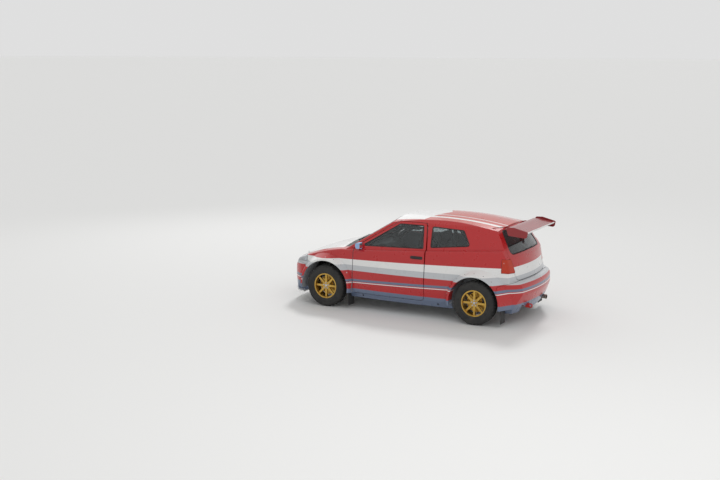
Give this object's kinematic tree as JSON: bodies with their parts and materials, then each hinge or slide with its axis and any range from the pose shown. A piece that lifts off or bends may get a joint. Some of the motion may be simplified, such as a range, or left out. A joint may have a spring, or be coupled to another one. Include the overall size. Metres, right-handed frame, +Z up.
{
  "type": "rally car",
  "caption": "Hatchback rally car with flared arches and a wing over the tailgate; doors, bonnet and tailgate open, the front wheels steer and all wheels roll.",
  "frame": {"origin": "on the ground under the middle of the car's length and width", "axes": "+X forward, +Y to the car's left, +Z up"},
  "size_m": [3.9978, 1.82, 1.4957],
  "materials": {
    "red_paint": "gloss",
    "white_paint": "gloss",
    "splitter_white": "gloss",
    "wing_red": "gloss",
    "mirror_shell": "gloss",
    "body_steel": "satin",
    "clear_glass": "gloss",
    "lamp_clear": "gloss",
    "lamp_red": "gloss",
    "black_plastic": "matte",
    "suspension_steel": "satin",
    "engine_alloy": "cast",
    "radiator_alloy": "satin",
    "guard_alloy": "brushed",
    "exhaust_steel": "brushed",
    "tow_steel": "satin",
    "seat_cloth": "woven",
    "wheel_rubber": "matte",
    "gold_rim": "satin",
    "tyre_rubber": "matte"
  },
  "bodies": {
    "body": {"controls": "black_plastic", "dashboard": "black_plastic", "engine_block": "engine_alloy", "exhaust": "exhaust_steel", "fender_left": "red_paint", "fender_right": "red_paint", "firewall": "body_steel", "floor_pan": "body_steel", "front_arch_liners": "body_steel", "front_bumper": "red_paint", "front_rails": "body_steel", "front_splitter": "splitter_white", "front_suspension": "suspension_steel", "grille": "black_plastic", "headlamps": "lamp_clear", "mud_flaps": "black_plastic", "quarter_glass": "clear_glass", "quarter_panel_left": "red_paint", "quarter_panel_right": "red_paint", "radiator": "radiator_alloy", "rear_arch_liners": "body_steel", "rear_axle": "suspension_steel", "rear_bumper": "red_paint", "roll_cage": "suspension_steel", "roof_skin": "white_paint", "seat_left": "seat_cloth", "seat_right": "seat_cloth", "side_frame_left": "red_paint", "side_frame_right": "red_paint", "spare_wheel": "tyre_rubber", "strut_towers": "body_steel", "sump_guard": "guard_alloy", "tail_lamps": "lamp_red", "tow_eye_front": "tow_steel", "tow_eye_rear": "tow_steel", "windscreen": "clear_glass"},
    "bonnet": {"bonnet": "white_paint"},
    "tailgate": {"tailgate": "red_paint", "rear_glass": "clear_glass", "rear_wing": "wing_red"},
    "door_left": {"door_left": "red_paint", "door_glass_left": "clear_glass", "mirror_left": "mirror_shell"},
    "door_right": {"door_right": "red_paint", "door_glass_right": "clear_glass", "mirror_right": "mirror_shell"},
    "steering_wheel": {"steering_wheel": "wheel_rubber"},
    "knuckle_left": {"knuckle_left": "suspension_steel"},
    "knuckle_right": {"knuckle_right": "suspension_steel"},
    "wheel_front_left": {"tyre_front_left": "tyre_rubber", "rim_front_left": "gold_rim"},
    "wheel_front_right": {"tyre_front_right": "tyre_rubber", "rim_front_right": "gold_rim"},
    "wheel_rear_left": {"tyre_rear_left": "tyre_rubber", "rim_rear_left": "gold_rim"},
    "wheel_rear_right": {"tyre_rear_right": "tyre_rubber", "rim_rear_right": "gold_rim"}
  },
  "joints": [
    {"name": "steer_left", "type": "hinge", "parent": "body", "child": "knuckle_left", "pos_m": [1.2, 0.65, 0.325], "axis": [0, 0, 1], "range_deg": [-28, 28]},
    {"name": "steer_right", "type": "hinge", "parent": "body", "child": "knuckle_right", "pos_m": [1.2, -0.65, 0.325], "axis": [0, 0, 1], "range_deg": [-28, 28]},
    {"name": "wheel_front_left_roll", "type": "hinge", "parent": "knuckle_left", "child": "wheel_front_left", "pos_m": [1.2, 0.8, 0.325], "axis": [0, 1, 0], "continuous": true},
    {"name": "wheel_front_right_roll", "type": "hinge", "parent": "knuckle_right", "child": "wheel_front_right", "pos_m": [1.2, -0.8, 0.325], "axis": [0, 1, 0], "continuous": true},
    {"name": "wheel_rear_left_roll", "type": "hinge", "parent": "body", "child": "wheel_rear_left", "pos_m": [-1.29, 0.8, 0.325], "axis": [0, 1, 0], "continuous": true},
    {"name": "wheel_rear_right_roll", "type": "hinge", "parent": "body", "child": "wheel_rear_right", "pos_m": [-1.29, -0.8, 0.325], "axis": [0, 1, 0], "continuous": true},
    {"name": "steering_wheel_turn", "type": "hinge", "parent": "body", "child": "steering_wheel", "pos_m": [0.43, 0.37, 0.8], "axis": [-0.9272, 0, 0.3746], "range_deg": [-340, 340]},
    {"name": "door_left_open", "type": "hinge", "parent": "body", "child": "door_left", "pos_m": [0.738, 0.852, 0.6], "axis": [0, 0, -1], "range_deg": [0, 65]},
    {"name": "door_right_open", "type": "hinge", "parent": "body", "child": "door_right", "pos_m": [0.738, -0.852, 0.6], "axis": [0, 0, 1], "range_deg": [0, 65]},
    {"name": "bonnet_open", "type": "hinge", "parent": "body", "child": "bonnet", "pos_m": [0.955, 0, 0.985], "axis": [0, -1, 0], "range_deg": [0, 55]},
    {"name": "tailgate_open", "type": "hinge", "parent": "body", "child": "tailgate", "pos_m": [-1.556, 0, 1.404], "axis": [0, 1, 0], "range_deg": [0, 70]}
  ],
  "couplings": [
    {"joint": "steer_right", "follows": "steer_left", "ratio": 1},
    {"joint": "steering_wheel_turn", "follows": "steer_left", "ratio": 12}
  ]
}
